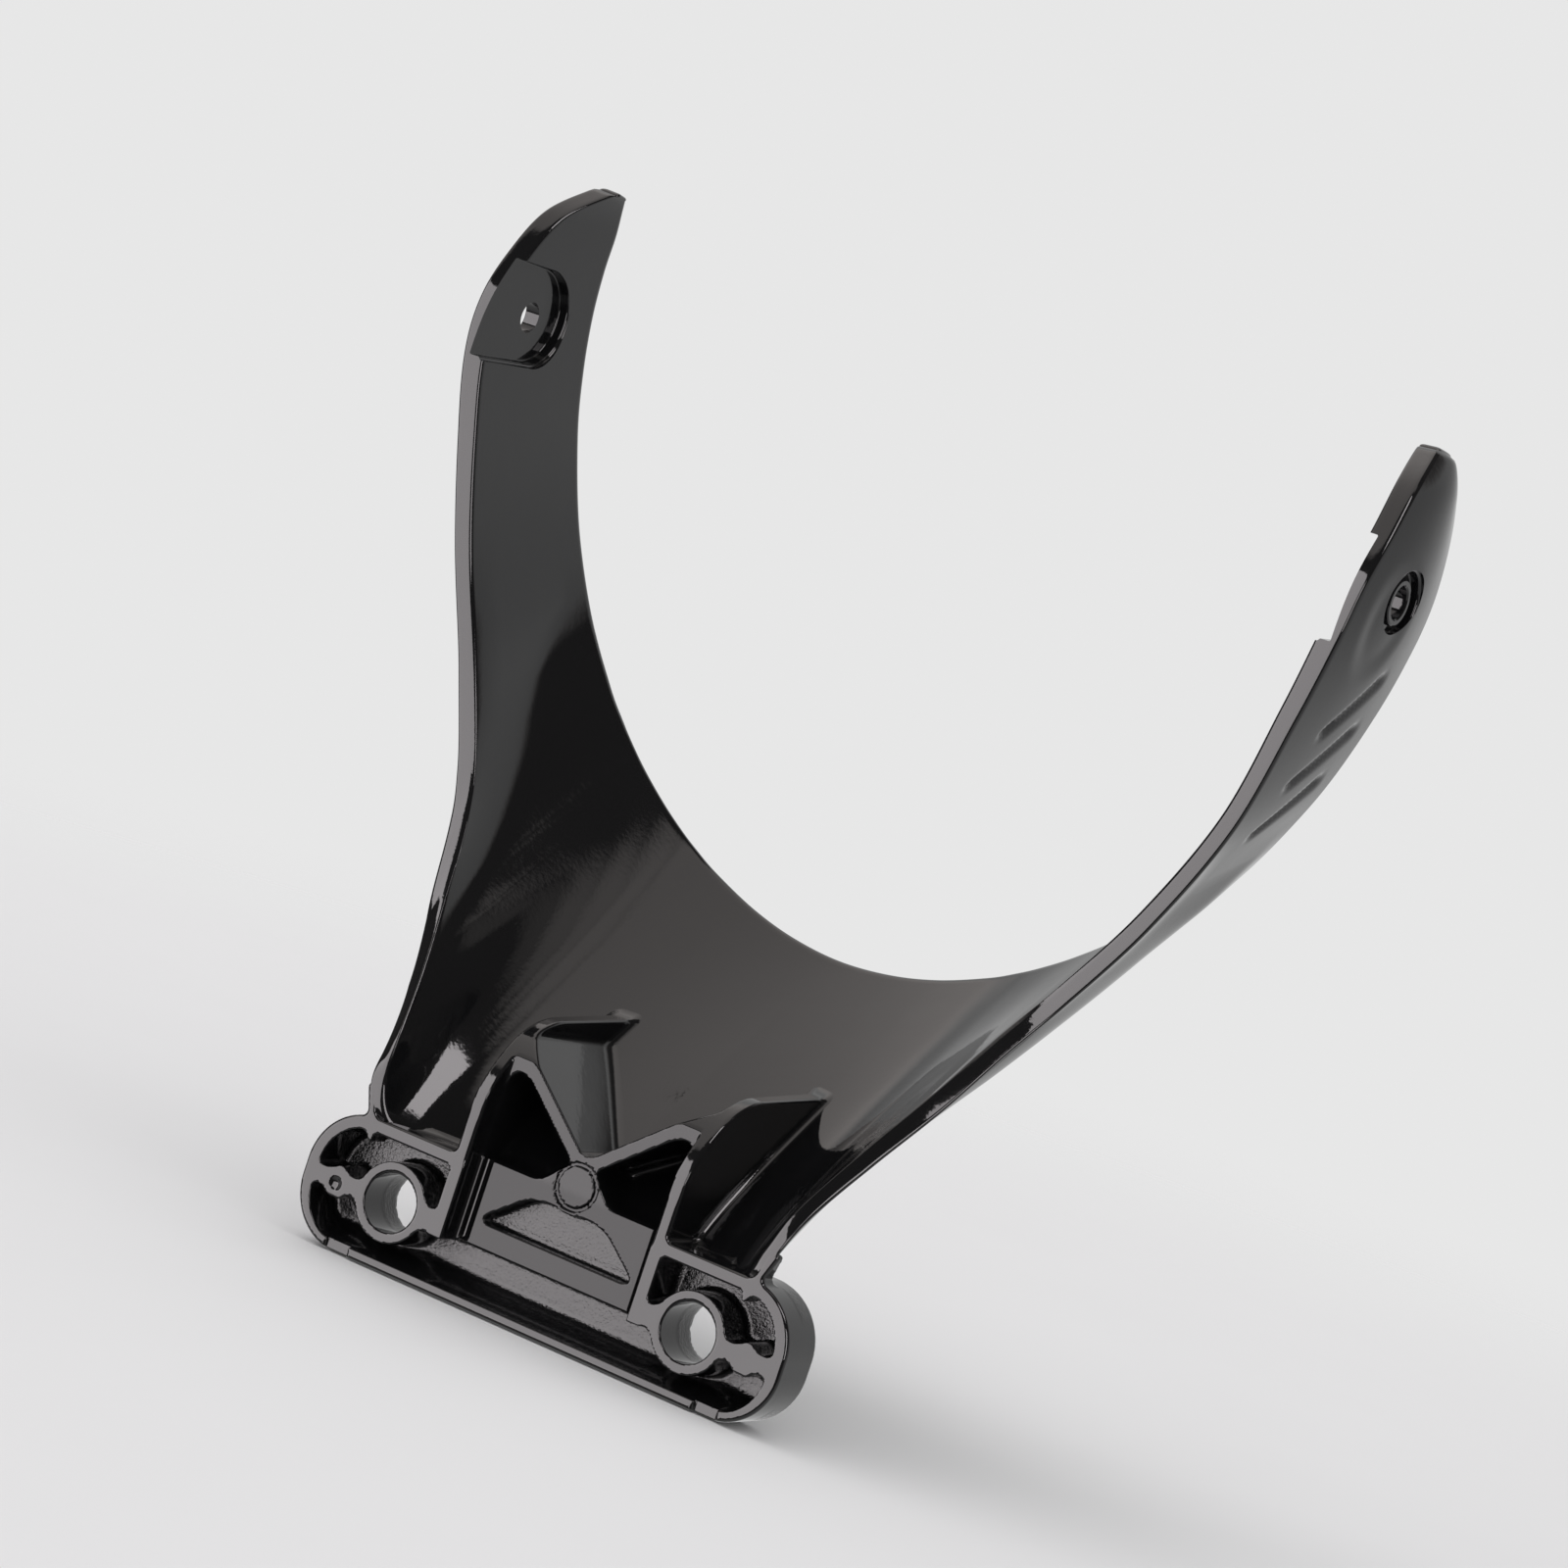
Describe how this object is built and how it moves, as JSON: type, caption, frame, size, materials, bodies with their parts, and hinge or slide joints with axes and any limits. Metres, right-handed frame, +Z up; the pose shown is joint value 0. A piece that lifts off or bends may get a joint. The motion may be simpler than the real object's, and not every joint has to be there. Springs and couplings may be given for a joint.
{
  "type": "headlight mounting bracket",
  "caption": "Cast motorbike headlight bracket: ribbed two-bolt foot and a curved scoop that rises into two arms with pivot holes for the lamp.",
  "frame": {"origin": "midway between the two bolt holes, on the face that is bolted down", "axes": "+Z up towards the arm tips, +Y from the bolted face towards the lamp, X across, with the plane X = 0 as the mirror plane"},
  "size_m": [0.1768, 0.0708, 0.1828],
  "materials": {
    "black_paint": "gloss black paint over a casting"
  },
  "bodies": {
    "root": {"bracket": "black_paint"}
  },
  "joints": []
}
